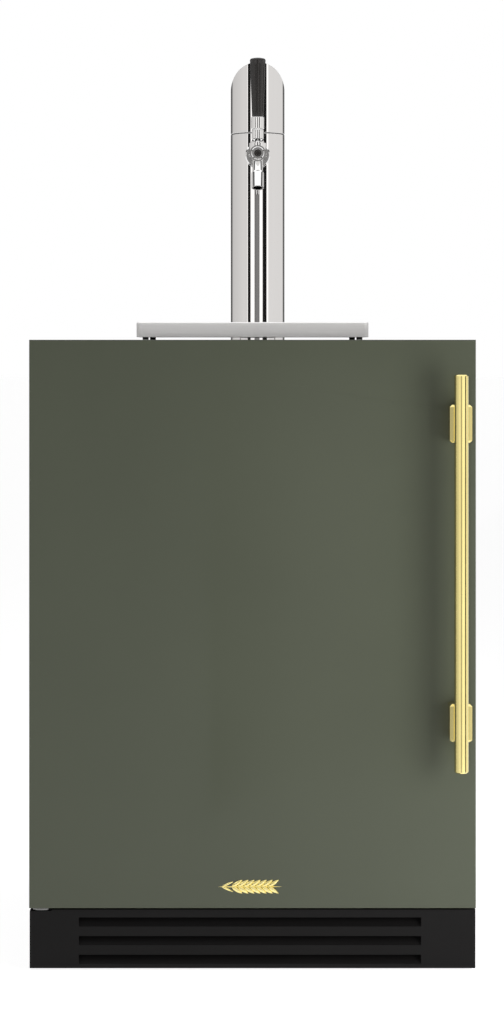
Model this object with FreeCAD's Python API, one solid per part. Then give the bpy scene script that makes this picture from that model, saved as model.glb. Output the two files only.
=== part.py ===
import FreeCAD, Part
import math
import os

# Under-counter kegerator. Millimetres, +Z up, the door faces -Y, the hinges are on the -X side.
# The origin is on the floor, at the centre of the whole object's plan.

V = FreeCAD.Vector
X_AXIS, Y_AXIS, Z_AXIS = V(1, 0, 0), V(0, 1, 0), V(0, 0, 1)

# Driving dimensions
width = 606.0
cabinet_top = 857.0
cabinet_bottom = 86.0
door_front = -281.0
door_thickness = 46.0
gasket_gap = 10.0
cabinet_back = 331.0
sheet = 1.0
foam_wall = 42.0
liner_wall = 1.2
bay_corner = 14.0
step_depth = 155.0
step_top = 330.0
floor_top = 138.0
bar_x = 280.0
bar_radius = 9.5
bar_standoff = 40.5
tower_x, tower_y = 7.5, -15.0
tower_radius, tower_wall = 39.0, 1.6
tower_seam = 1155.6
seam_gap = 0.9
tower_arch = 1219.5
faucet_y, faucet_z = -97.0, 1122.0
lever_pivot_z = 1138.0
hinge_x, hinge_y = -287.0, -258.0
body_gap = 0.3

# Worked out from them
half = width / 2
door_back = door_front + door_thickness
cabinet_front = door_back + gasket_gap
foam_half = half - sheet - foam_wall
bay_half = foam_half - liner_wall
ceiling = cabinet_top - sheet - foam_wall
rear_foam = cabinet_back - 1 - foam_wall
step_front = cabinet_back - 1 - step_depth - 40
tower_front = tower_y - tower_radius
bar_y = door_front - bar_standoff
line_hole = 25.0

parts = {}


def box(x0, x1, y0, y1, z0, z1):
    return Part.makeBox(x1 - x0, y1 - y0, z1 - z0, V(x0, y0, z0))


def rod(radius, x, y, z, axis, length):
    return Part.makeCylinder(radius, length, V(x, y, z), axis)


def tube(outer, inner, x, y, z, axis, length):
    return rod(outer, x, y, z, axis, length).cut(rod(inner, x, y, z, axis, length))


def ring(outer, inner, x, y, z0, z1):
    return tube(outer, inner, x, y, z0, Z_AXIS, z1 - z0)


def prism(points, direction):
    wire = Part.makePolygon(points + [points[0]])
    return Part.Face(wire).extrude(direction)


def fuse(shapes):
    joined = shapes[0].fuse(shapes[1:]) if len(shapes) > 1 else shapes[0]
    return joined.removeSplitter()


def cut(shape, tools):
    return shape.cut(tools if len(tools) > 1 else tools[0])


def hexagon(across, x, y, z, axis, length):
    radius = across / math.sqrt(3)
    corners = []
    for k in range(6):
        a = math.radians(60 * k)
        if axis == Y_AXIS:
            corners.append(V(x + radius * math.cos(a), y, z + radius * math.sin(a)))
        else:
            corners.append(V(x + radius * math.cos(a), y + radius * math.sin(a), z))
    return prism(corners, axis * length)


def edges_along(shape, axis, test=None):
    found = []
    for e in shape.Edges:
        if len(e.Vertexes) == 2 and isinstance(e.Curve, Part.Line):
            d = e.Vertexes[1].Point.sub(e.Vertexes[0].Point)
            if abs(abs(d.dot(axis)) - d.Length) < 1e-6 and (test is None or test(e.CenterOfMass)):
                found.append(e)
    return found


# ---- cabinet ----

def cabinet_shell():
    outer = box(-half, half, cabinet_front, cabinet_back, cabinet_bottom, cabinet_top)
    inner = box(-half + sheet, half - sheet, cabinet_front - 1, cabinet_back + 1,
                cabinet_bottom - 1, cabinet_top - sheet)
    holes = [rod(line_hole, tower_x, tower_y, cabinet_top - 5, Z_AXIS, 10)]
    holes += [rod(2.6, x, y, cabinet_top - 5, Z_AXIS, 10) for x, y in tower_screw_places()]
    parts["cabinet_wrapper"] = cut(outer.cut(inner), holes)


def tower_screw_places():
    return [(tower_x + 31.5 * math.cos(a), tower_y + 31.5 * math.sin(a))
            for a in [math.radians(45 + 90 * k) for k in range(4)]]


def insulation():
    front = cabinet_front + liner_wall
    back = cabinet_back - 3
    side = half - sheet
    slabs = [
        box(-side, -foam_half, front, back, cabinet_bottom + 2, cabinet_top - sheet),
        box(foam_half, side, front, back, cabinet_bottom + 2, cabinet_top - sheet),
        box(-foam_half, foam_half, front, back, ceiling, cabinet_top - sheet),
        box(-foam_half, foam_half, rear_foam, back, step_top, ceiling),
        box(-foam_half, foam_half, front, step_front, cabinet_bottom + 2, floor_top),
        box(-foam_half, foam_half, step_front, step_front + 40, cabinet_bottom + 2, step_top),
        box(-foam_half, foam_half, step_front + 40, back, step_top - 40, step_top),
    ]
    slabs[2] = slabs[2].cut(rod(line_hole, tower_x, tower_y, ceiling - 1, Z_AXIS, 60))
    for x, y in tower_screw_places():
        slabs[2] = slabs[2].cut(rod(2.6, x, y, ceiling + 20, Z_AXIS, 60))
    for z in hinge_screw_heights():
        slabs[0] = slabs[0].cut(rod(2.1, hinge_x - 4, cabinet_front, z, Y_AXIS, 25))
    parts["insulation"] = Part.makeCompound(slabs)


def hinge_screw_heights():
    return [822.0, 840.0]


def bay_space(front, wall):
    """The keg bay's space, wall thick inside the foam, with its corners rounded."""
    space = box(-foam_half + wall, foam_half - wall, front - 1, rear_foam - wall, floor_top + wall, ceiling - wall)
    space = space.cut(box(-half, half, step_front - wall, cabinet_back, floor_top, step_top + wall))
    corners = [e for e in space.Edges if e.CenterOfMass.y > front and abs(e.CenterOfMass.y - step_front) > 5
               or abs(e.CenterOfMass.x) > foam_half - 5 and e.CenterOfMass.y > front]
    return space.makeFillet(bay_corner - wall, corners)


def inner_liner():
    front = cabinet_front
    outside = bay_space(front, 0).cut(box(-half, half, front - 5, front, 0, cabinet_top))
    inside = bay_space(front, liner_wall)
    flange = box(-half + sheet, half - sheet, front, front + liner_wall,
                 cabinet_bottom + 2, cabinet_top - sheet)
    screw_holes = [rod(2.1, hinge_x - 4, front - 1, z, Y_AXIS, 5) for z in hinge_screw_heights()]
    line = rod(line_hole, tower_x, tower_y, ceiling - 5, Z_AXIS, 10)
    shell = outside.fuse(flange).cut(inside).cut(line)
    # a moulded peg on the right wall carries the parked keg coupler
    peg = box(218, bay_half + 0.6, -178, -162, 543, 547.7)
    # two ribs along the step keep a keg off the back
    ribs = [box(x, x + 12, step_front - 14, step_front - 0.6, floor_top + 0.6, 300) for x in (-160, 30)]
    parts["inner_liner"] = fuse([cut(shell, screw_holes), peg] + ribs)


def rear_panel():
    y = cabinet_back - 3
    panel = box(-half + sheet, half - sheet, y, y + sheet, 22, cabinet_top - sheet)
    slots = [box(-230 + 90 * c, -160 + 90 * c, y - 1, y + 3, 60 + 22 * r, 68 + 22 * r)
             for c in range(5) for r in range(7) if not (c == 4 and r < 2)]
    socket = box(146, 202, y - 1, y + 3, 20, 78)
    screws = [rod(2.1, x, y - 1, z, Y_AXIS, 4) for x, z in rear_screw_places()]
    parts["rear_panel"] = cut(panel, slots + [socket] + screws)


def rear_screw_places():
    return [(x, z) for x in (-288, 288) for z in (330, 590, 845)]


def base():
    tray = box(-half, half, cabinet_front - 18, cabinet_back - 3, 12, cabinet_bottom)
    tray = tray.cut(box(-half + 2, half - 2, cabinet_front - 20, cabinet_back, 14, 100))
    gussets = [box(-half + 2, -half + 48, cabinet_front - 6, cabinet_front - 4, 14, cabinet_bottom - 1),
               box(half - 48, half - 2, cabinet_front - 6, cabinet_front - 4, 14, cabinet_bottom - 1)]
    bosses = [rod(10, x, y, 14, Z_AXIS, 16) for x, y in leg_places().values()]
    bores = [rod(5.06, x, y, 8, Z_AXIS, 40) for x, y in leg_places().values()]
    screws = [rod(2.1, hinge_x, cabinet_front - 10, z, Y_AXIS, 10) for z in (58, 72)]
    # the side walls are lower under the door, so its foot swings clear of them
    door_gap = box(-half - 1, half + 1, cabinet_front - 19, door_back + 1, cabinet_bottom - 3, cabinet_bottom + 1)
    parts["base_pan"] = cut(fuse([tray] + gussets + bosses), bores + screws + [door_gap])


def leg_places():
    return {"front_left_leg": (-262, -195), "front_right_leg": (262, -195),
            "rear_left_leg": (-262, 288), "rear_right_leg": (262, 288)}


def legs():
    for name, (x, y) in leg_places().items():
        pad = rod(19, x, y, 0, Z_AXIS, 8)
        pad = pad.makeChamfer(1.5, [e for e in pad.Edges if isinstance(e.Curve, Part.Circle)])
        parts[name] = fuse([pad, rod(5, x, y, 7, Z_AXIS, 53)])


def kick_grille():
    face_y, back = door_front + 8, cabinet_front - 18
    top, bottom = cabinet_bottom - 3, 3.0
    panel = box(-half, half, face_y, face_y + 2, bottom, top)
    panel = panel.makeChamfer(1.5, edges_along(panel, Z_AXIS, lambda c: c.y < face_y + 0.1))
    returns = [box(-half, half, face_y + 1, back, top - 2, top),
               box(-half, half, face_y + 1, back, bottom, bottom + 2),
               box(-half, -half + 2, face_y + 1, back, bottom, top),
               box(half - 2, half, face_y + 1, back, bottom, top)]
    slot_left, slot_right, slot_height, pitch = -236.0, 229.0, 12.0, 25.3
    slots, blades = [], []
    for k in range(3):
        z = 66 - pitch * k
        low = z - slot_height / 2
        slots.append(box(slot_left, slot_right, face_y - 1, face_y + 3, low, low + slot_height))
        section = [V(slot_left - 4, face_y + 1, low), V(slot_left - 4, face_y + 1, low - 1.6),
                   V(slot_left - 4, face_y + 12.5, low + 9), V(slot_left - 4, face_y + 12.5, low + 10.6)]
        blades.append(prism(section, X_AXIS * (slot_right - slot_left + 8)))
    notch = box(-half - 1, hinge_x + 14, face_y - 1, back + 1, top - 2, top + 5)
    parts["kick_grille"] = fuse([cut(fuse([panel] + returns), slots + [notch])] + blades)


def hinges():
    left, right = hinge_x - 12, hinge_x + 12
    front, rear = hinge_y - 12, cabinet_front
    upper = box(left, right, front, rear, 850.5, 853.5)
    upper = upper.makeFillet(11.5, edges_along(upper, Z_AXIS, lambda c: c.y < hinge_y))
    upper = upper.fuse(box(left, hinge_x + 6, rear - 3, rear, 814, 853.5))
    upper_holes = []
    for z in hinge_screw_heights():
        upper_holes += [rod(2.1, hinge_x - 4, rear - 5, z, Y_AXIS, 10),
                        rod(4.2, hinge_x - 4, rear - 5, z, Y_AXIS, 3.6)]
    parts["upper_hinge_bracket"] = cut(upper.cut(rod(5, hinge_x, hinge_y, 845, Z_AXIS, 12)), upper_holes)

    lower = box(left, right, hinge_y - 16, cabinet_front - 6, 82, 85)
    lower = lower.makeFillet(8, edges_along(lower, Z_AXIS, lambda c: c.y < hinge_y))
    lower = lower.fuse(box(left, right, cabinet_front - 9, cabinet_front - 6, 48, 85))
    lower_holes = [rod(5, hinge_x, hinge_y, 80, Z_AXIS, 12)]
    for z in (58, 72):
        lower_holes += [rod(2.1, hinge_x, cabinet_front - 11, z, Y_AXIS, 10),
                        rod(4.2, hinge_x, cabinet_front - 11, z, Y_AXIS, 3.6)]
    parts["lower_hinge_bracket"] = cut(lower, lower_holes)
    pins = [rod(5, hinge_x, hinge_y, 826, Z_AXIS, 27.5), rod(5, hinge_x, hinge_y, 82, Z_AXIS, 28)]
    parts["hinge_pins"] = Part.makeCompound(pins)
    bushes = [ring(8, 5.06, hinge_x, hinge_y, 824, 848), ring(8, 5.06, hinge_x, hinge_y, 86, 112)]
    parts["hinge_bushes"] = Part.makeCompound(bushes)


def countersunk(x, y, z, axis, shank):
    return fuse([rod(4, x, y, z, axis, 1.4), rod(2, x, y, z, axis, shank)])


def cabinet_screws():
    screws = [countersunk(hinge_x - 4, cabinet_front - 2.9, z, Y_AXIS, 20) for z in hinge_screw_heights()]
    screws += [countersunk(hinge_x, cabinet_front - 8.9, z, Y_AXIS, 5) for z in (58, 72)]
    rear = cabinet_back - 2
    screws += [fuse([rod(4, x, rear, z, Y_AXIS, 2), rod(2, x, rear - 1, z, Y_AXIS, 1.5)])
               for x, z in rear_screw_places()]
    screws += [fuse([rod(4.5, x, y, 865.1, Z_AXIS, 3), rod(2.5, x, y, 838, Z_AXIS, 28)])
               for x, y in tower_screw_places()]
    parts["cabinet_screws"] = Part.makeCompound(screws)


# ---- cooling ----

def cooling():
    cx, cy, r = -150.0, 252.0, 66.0
    can = rod(r, cx, cy, 24, Z_AXIS, 120)
    dome = Part.makeSphere(r * 1.25, V(cx, cy, 144 - r * 0.75 * 0.99)).common(rod(r, cx, cy, 144, Z_AXIS, 90))
    foot = box(cx - 80, cx + 80, cy - 50, cy + 50, 20, 24)
    mounts = [rod(8, cx + sx * 68, cy + sy * 38, 14, Z_AXIS, 6) for sx in (-1, 1) for sy in (-1, 1)]
    parts["compressor"] = fuse([can, dome, foot] + mounts)

    fins = [box(120, 250, 190, 292, 30 + 7.5 * k, 31 + 7.5 * k) for k in range(28)]
    pipes = [rod(4, 140 + 30 * i, 205 + 24 * k, 22, Z_AXIS, 222) for i in range(4) for k in range(4)]
    parts["condenser_coil"] = fuse(fins + pipes)

    fan_y, fan_z = 252.0, 132.0
    shroud = box(98, 104, 196, 312, 16, 248)
    parts["fan_shroud"] = shroud.cut(rod(54, 90, fan_y, fan_z, X_AXIS, 20))
    parts["condenser_fan"] = fan(70, fan_y, fan_z, X_AXIS, 50, 17, 20)


def fan(x, y, z, axis, radius, hub, depth):
    """Five pitched blades on a hub, turning about axis from the point (x, y, z)."""
    side, thickness = Z_AXIS if axis == X_AXIS else X_AXIS, 1.6
    across = axis.cross(side)
    body = rod(hub, x, y, z, axis, depth)
    blades = []
    centre = V(x, y, z)
    for k in range(5):
        a = centre + axis * 2 + across * -hub * 0.7
        b = centre + axis * (depth - 2) + across * hub * 0.7
        blade = prism([a, b, b + axis * thickness, a + axis * thickness], side * radius)
        blade.rotate(centre, axis, 72 * k)
        blades.append(blade)
    return fuse([body] + [blade.common(rod(radius, x, y, z, axis, depth)) for blade in blades])


def evaporator():
    wall = rear_foam - liner_wall
    face = wall - 52
    left, right, low, high = -200.0, 110.0, 560.0, 795.0
    cover = box(left, right, face, wall, low, high)
    cover = cover.makeFillet(6, edges_along(cover, Z_AXIS, lambda c: c.y < face + 1))
    cover = cover.cut(box(left + 2, right - 2, face + 2, wall + 1, low + 2, high - 2))
    fan_x, fan_z = -45.0, 690.0
    vents = [box(left + 20 + 24 * k, left + 36 + 24 * k, face - 1, face + 3, low + 14, low + 22) for k in range(12)]
    opening = rod(56, fan_x, face - 1, fan_z, Y_AXIS, 4)
    guard = [ring_y(r + 1.2, r - 1.2, fan_x, face + 0.4, fan_z, 1.4) for r in (14, 25, 36, 47)]
    bars = []
    for k in range(4):
        bar = box(-57, 57, face + 0.4, face + 1.8, -1.2, 1.2)
        bar.rotate(V(0, 0, 0), Y_AXIS, 45 * k)
        bar.translate(V(fan_x, 0, fan_z))
        bars.append(bar)
    parts["evaporator_cover"] = fuse([cut(cover, vents + [opening])] + guard + bars)
    parts["evaporator_fan"] = fan(fan_x, face + 4, fan_z, Y_AXIS, 51, 15, 16)
    fins = [box(-185 + 12.5 * k, -184 + 12.5 * k, wall - 28, wall - 3, 568, 788) for k in range(23)]
    pipes = [rod(4, -190, wall - 15.5, 590 + 45 * k, X_AXIS, 290) for k in range(5)]
    parts["evaporator_coil"] = fuse(fins + pipes)


def ring_y(outer, inner, x, y, z, length):
    return tube(outer, inner, x, y, z, Y_AXIS, length)


def controls():
    under = ceiling - liner_wall
    front = cabinet_front + 12
    panel = box(120, 246, front, front + 60, under - 26, under)
    panel = panel.makeFillet(4, edges_along(panel, X_AXIS, lambda c: c.z < under - 20 and c.y < front + 5))
    bores = [rod(6.3, x, front - 1, under - 13, Y_AXIS, 12) for x in (150, 172)]
    bores += [rod(4.3, 228, front - 1, under - 13, Y_AXIS, 30)]
    parts["control_panel"] = cut(panel, bores)
    for name, x in (("warmer_button", 150), ("colder_button", 172)):
        parts[name] = rod(6, x, front - 1.8, under - 13, Y_AXIS, 8)
    # The closed door's raised panel stands just ahead of the plunger's tip.
    parts["door_switch_plunger"] = rod(4, 228, cabinet_front + 2.6, under - 13, Y_AXIS, 32)
    lamp = box(-130, 60, front, front + 20, under - 9, under)
    parts["interior_lamp"] = lamp.makeFillet(5, edges_along(lamp, X_AXIS, lambda c: c.z < under - 5))
    socket = box(151, 197, cabinet_back - 30, cabinet_back - 1, 45, 73)
    hollow = box(157, 191, cabinet_back - 18, cabinet_back, 50, 68)
    pins = [box(x, x + 2, cabinet_back - 19, cabinet_back - 6, 57, 61) for x in (164, 173, 182)]
    parts["power_inlet"] = fuse([socket.cut(hollow)] + pins)


# ---- door ----

def hinge_pocket():
    return box(-half - 1, hinge_x + 25, door_front + 2, door_back + 1, 848, cabinet_top + 1)


def pin_holes(radius):
    return [rod(radius, hinge_x, hinge_y, 822, Z_AXIS, 40), rod(radius, hinge_x, hinge_y, 80, Z_AXIS, 34)]


def post_heights():
    return [744.0, 342.0]


def post_screws(radius, start, length):
    return [rod(radius, bar_x, start, z + dz, Y_AXIS * -1, length) for z in post_heights() for dz in (-14, 14)]


def door():
    low, high = cabinet_bottom, cabinet_top
    back = door_back - 2.2
    outer = box(-half, half, door_front, back, low, high)
    outer = outer.makeFillet(2.0, edges_along(outer, X_AXIS, lambda c: c.y < door_front + 1)
                             + edges_along(outer, Z_AXIS, lambda c: c.y < door_front + 1))
    inner = box(-half + sheet, half - sheet, door_front + sheet, back + 1, low + sheet, high - sheet)
    holes = [hinge_pocket()] + pin_holes(8) + post_screws(2.6, door_front + 5, 10)
    parts["door_skin"] = cut(outer.cut(inner), holes)

    dyke = (-248.0, 248.0, 152.0, 800.0)
    plate = box(-half + sheet, half - sheet, back, door_back, low + sheet, high - sheet)
    raised = box(dyke[0], dyke[1], back, door_back + 12, dyke[2], dyke[3])
    raised = raised.makeFillet(8, edges_along(raised, X_AXIS, lambda c: c.y > door_back + 11)
                               + edges_along(raised, Z_AXIS, lambda c: c.y > door_back + 11))
    hollow = box(dyke[0] + 9, dyke[1] - 9, back - 1, door_back + 10.8, dyke[2] + 9, dyke[3] - 9)
    parts["door_liner"] = cut(plate.fuse(raised).removeSplitter(), [hollow, hinge_pocket()] + pin_holes(8))

    foam = box(-half + sheet, half - sheet, door_front + sheet, back, low + sheet, high - sheet)
    bulge = box(dyke[0] + 9, dyke[1] - 9, back - 1, door_back + 10.8, dyke[2] + 9, dyke[3] - 9)
    heads = post_screws(4.7, door_front + 5, 4)
    parts["door_foam"] = cut(foam.fuse(bulge), [hinge_pocket()] + pin_holes(8) + heads)
    gasket()


def gasket():
    inner_x, outer_x, inner_low, outer_low = 262.0, 278.0, 136.0, 120.0
    inner_high, outer_high = 816.0, 832.0
    y0, depth = door_back, gasket_gap - body_gap
    corners = [(-outer_x, outer_low, -inner_x, inner_low), (outer_x, outer_low, inner_x, inner_low),
               (outer_x, outer_high, inner_x, inner_high), (-outer_x, outer_high, -inner_x, inner_high)]
    strips = []
    for k in range(4):
        a, b = corners[k], corners[(k + 1) % 4]
        strips.append(prism([V(a[0], y0, a[1]), V(b[0], y0, b[1]), V(b[2], y0, b[3]), V(a[2], y0, a[3])],
                            Y_AXIS * depth))
    parts["door_gasket"] = Part.makeCompound(strips)


def handle():
    low, high = 276.0, 810.0
    bar = rod(bar_radius, bar_x, bar_y, low, Z_AXIS, high - low)
    bar = bar.makeChamfer(1.8, [e for e in bar.Edges if isinstance(e.Curve, Part.Circle)])
    parts["handle_bar"] = bar
    posts = []
    for z in post_heights():
        post = box(bar_x - 15, bar_x + 15, bar_y + 5, door_front, z - 25.5, z + 25.5)
        post = post.makeChamfer(3, edges_along(post, X_AXIS) + edges_along(post, Y_AXIS))
        post = post.cut(rod(bar_radius, bar_x, bar_y, z - 40, Z_AXIS, 80))
        posts.append(cut(post, [rod(2.5, bar_x, door_front, z + dz, Y_AXIS * -1, 14) for dz in (-14, 14)]))
    parts["handle_posts"] = Part.makeCompound(posts)
    screws = [fuse([rod(2.5, bar_x, door_front + 4.8, z + dz, Y_AXIS * -1, 18),
                    rod(4.5, bar_x, door_front + 4.8, z + dz, Y_AXIS * -1, 3.7)])
              for z in post_heights() for dz in (-14, 14)]
    parts["handle_screws"] = Part.makeCompound(screws)


def badge():
    """A barley ear lying on its side: a bearded stem with grains in pairs."""
    cx, cz, length, proud = -3.0, 115.5, 86.0, 3.0
    y = door_front
    stem = box(cx - length / 2, cx + length / 2, y - proud, y, cz - 1.1, cz + 1.1)
    grains = []
    for k in range(7):
        for side in (-1, 1):
            grain = Part.Ellipse(V(0, 0, 0), 8.5, 2.9).toShape()
            solid = Part.Face(Part.Wire([grain])).extrude(V(0, 0, proud))
            solid.rotate(V(0, 0, 0), X_AXIS, 90)
            solid.rotate(V(0, 0, 0), Y_AXIS, -side * 32)
            solid.translate(V(cx - 18 + 8.2 * k, y, cz + side * 4.6))
            grains.append(solid)
    parts["badge"] = fuse([stem] + grains)


# ---- draft tower ----

def tower():
    column = ring(tower_radius, tower_radius - tower_wall, tower_x, tower_y, cabinet_top, tower_seam)
    bore = rod(11.2, tower_x, tower_front - 10, faucet_z, Y_AXIS, 25)
    parts["tower_column"] = column.cut(bore)

    base_ring = ring(tower_radius - tower_wall - 0.1, 26, tower_x, tower_y, cabinet_top, cabinet_top + 8)
    parts["tower_base_ring"] = cut(base_ring, [rod(2.6, x, y, 850, Z_AXIS, 30) for x, y in tower_screw_places()])

    seam = tower_seam + seam_gap
    wall = tower_wall
    outer = rod(tower_radius, tower_x, tower_y, seam, Z_AXIS, 130).cut(above_slant(0))
    inner = rod(tower_radius - wall, tower_x, tower_y, seam - 1, Z_AXIS, 130).cut(above_slant(wall * 1.414))
    slip, neck = tower_radius - wall - 0.08, tower_radius - wall - 1.6
    spigot = ring(slip, neck, tower_x, tower_y, seam - 14, seam + 4)
    joining = ring(tower_radius - wall + 0.4, neck, tower_x, tower_y, seam, seam + 4)
    parts["tower_cap"] = fuse([outer.cut(inner), spigot, joining])


def above_slant(drop):
    """Everything above the cap's slanted top, which falls to the back at 45 degrees."""
    z, reach = tower_arch - drop, 120.0
    outline = [V(tower_x - 60, tower_y - reach, z + reach), V(tower_x - 60, tower_y + reach, z - reach),
               V(tower_x - 60, tower_y + reach, z + 2 * reach), V(tower_x - 60, tower_y - reach, z + 2 * reach)]
    return prism(outline, X_AXIS * 120)


def shank_and_nuts():
    x, z = tower_x, faucet_z
    through = rod(11, x, tower_front - 16, z, Y_AXIS, 44)
    flange = rod(17.6, x, tower_front - 6, z, Y_AXIS, 14)
    flange = flange.cut(rod(tower_radius, x, tower_y, z - 40, Z_AXIS, 80))
    elbow = rod(6, x, tower_front + 27, z - 24, Z_AXIS, 20)
    drill = rod(4, x, tower_front - 20, z, Y_AXIS, 47)
    parts["shank"] = fuse([through, flange, elbow]).cut(drill)
    parts["shank_nut"] = hexagon(26, x, tower_front + 5, z, Y_AXIS, 6).cut(rod(11.05, x, -100, z, Y_AXIS, 90))
    nut_front = tower_front - 20
    nut = rod(17.9, x, nut_front, z, Y_AXIS, 13.5)
    nut = nut.makeChamfer(1.6, [e for e in nut.Edges if isinstance(e.Curve, Part.Circle)])
    notches = [box(x - 2.2, x + 2.2, nut_front + 2, nut_front + 11, z + 15.6, z + 20) for k in range(6)]
    for k, notch in enumerate(notches):
        notch.rotate(V(x, 0, z), Y_AXIS, 60 * k + 30)
    bore = [rod(11.3, x, nut_front + 4, z, Y_AXIS, 12), rod(10.7, x, nut_front - 1, z, Y_AXIS, 8)]
    parts["coupling_nut"] = cut(nut, notches + bore)


def faucet():
    x, y, z = tower_x, faucet_y, faucet_z
    tilt = math.radians(20)
    down = V(0, -math.sin(tilt), -math.cos(tilt))
    barrel = fuse([rod(10.5, x, y, z, Y_AXIS, tower_front - 16.2 - y), rod(11.5, x, y - 21, z, Y_AXIS, 41)])
    boss = rod(12.5, x, y, z, Z_AXIS, 12)
    top = V(x, y - 4, z - 6)
    neck = Part.makeCylinder(7.4, 46, top, down)
    nozzle_start = top + down * 24
    nozzle = Part.makeCylinder(8.85, 22, nozzle_start, down)
    shoulder = Part.makeCone(7.4, 8.85, 3, top + down * 21, down)
    drills = [rod(5, x, y - 19, z, Y_AXIS, 60), rod(9.5, x, y, z + 1, Z_AXIS, 20),
              Part.makeCylinder(4, 46, top, down), Part.makeCylinder(6.7, 23, top + down * 26, down)]
    parts["faucet_body"] = cut(fuse([barrel, boss, neck, shoulder, nozzle]), drills)

    plug = rod(9.2, x, y - 26, z, Y_AXIS, 5)
    plug = plug.makeChamfer(1.0, [e for e in plug.Edges if isinstance(e.Curve, Part.Circle)])
    parts["front_plug"] = plug.cut(rod(5.3, x, y - 27, z, Y_AXIS, 3.4))

    pivot = V(x, y, lever_pivot_z)
    base = rod(12.5, x, y, z + 12, Z_AXIS, 3.5)
    dome = Part.makeSphere(9.2, pivot).common(box(x - 20, x + 20, y - 20, y + 20, z + 13, z + 60))
    cavity = [Part.makeSphere(6.7, pivot), rod(6.6, x, y, z + 5, Z_AXIS, 11),
              box(x - 4, x + 4, y - 11, y + 4.2, lever_pivot_z + 1.5, lever_pivot_z + 20)]
    parts["faucet_bonnet"] = cut(fuse([base, dome]), cavity)

    ball = Part.makeSphere(6.2, pivot)
    stem = rod(3, x, y, lever_pivot_z, Z_AXIS, 52)
    tip = rod(2.5, x, y, lever_pivot_z - 20, Z_AXIS, 20)
    parts["faucet_lever"] = fuse([ball, stem, tip])

    collar = rod(8.6, x, y, lever_pivot_z + 6, Z_AXIS, 14)
    collar = collar.makeFillet(2.5, [e for e in collar.Edges if e.CenterOfMass.z > lever_pivot_z + 19])
    collar = collar.cut(Part.makeSphere(9.7, pivot))
    ferrule = rod(9.25, x, y, lever_pivot_z + 19.6, Z_AXIS, 17.4)
    ferrule = ferrule.makeChamfer(0.8, [e for e in ferrule.Edges if isinstance(e.Curve, Part.Circle)])
    parts["lever_ferrule"] = fuse([collar, ferrule]).cut(rod(3, x, y, lever_pivot_z, Z_AXIS, 60))

    low, high = lever_pivot_z + 37.2, 1259.0
    grip = Part.makeCone(8.3, 11.5, high - low, V(x, y, low), Z_AXIS)
    flutes = []
    for k in range(10):
        flute = Part.makeCone(1.5, 2.1, high - low + 2, V(x + 8.9, y, low - 1),
                              V(math.sin(math.radians(2.3)), 0, 1))
        flute.rotate(V(x, y, 0), Z_AXIS, 36 * k)
        flutes.append(flute)
    grip = cut(grip, flutes + [rod(3, x, y, low - 1, Z_AXIS, 16.5)])
    parts["tap_handle"] = grip

    shaft = rod(4.2, x, y - 14, z, Y_AXIS, 31)
    parts["valve_shaft"] = shaft.cut(box(x - 3.1, x + 3.1, y - 6, y + 6, z - 6, z + 6))


# ---- lines ----

def bend_route(points, radii):
    """Straight runs joined by tangent arcs of the given radii, as one wire."""
    edges, start = [], points[0]
    for k, radius in enumerate(radii):
        a, corner, b = points[k], points[k + 1], points[k + 2]
        into, out = (corner - a).normalize(), (b - corner).normalize()
        turn = math.acos(max(-1, min(1, into.dot(out))))
        reach = radius * math.tan(turn / 2)
        first, last = corner - into * reach, corner + out * reach
        bisector = (out - into).normalize()
        centre = corner + bisector * (radius / math.cos(turn / 2))
        middle = centre - bisector * radius
        edges += [Part.LineSegment(start, first).toShape(), Part.Arc(first, middle, last).toShape()]
        start = last
    edges.append(Part.LineSegment(start, points[-1]).toShape())
    return Part.Wire(edges)


def hose(points, radius):
    radii = []
    for k in range(len(points) - 2):
        into, out = points[k + 1] - points[k], points[k + 2] - points[k + 1]
        turn = into.getAngle(out)
        radii.append(min(0.45 * min(into.Length, out.Length) / math.tan(turn / 2), 65.0))
    wire = bend_route(points, radii)
    direction = points[1] - points[0]
    section = Part.Wire([Part.makeCircle(radius, points[0], direction)])
    solid = wire.makePipeShell([section], True, True)
    expected = math.pi * radius ** 2 * wire.Length
    print("hose length", round(wire.Length, 1), "radii", [round(r, 1) for r in radii],
          "volume ratio", round(solid.Volume / expected, 4))
    return solid


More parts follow.
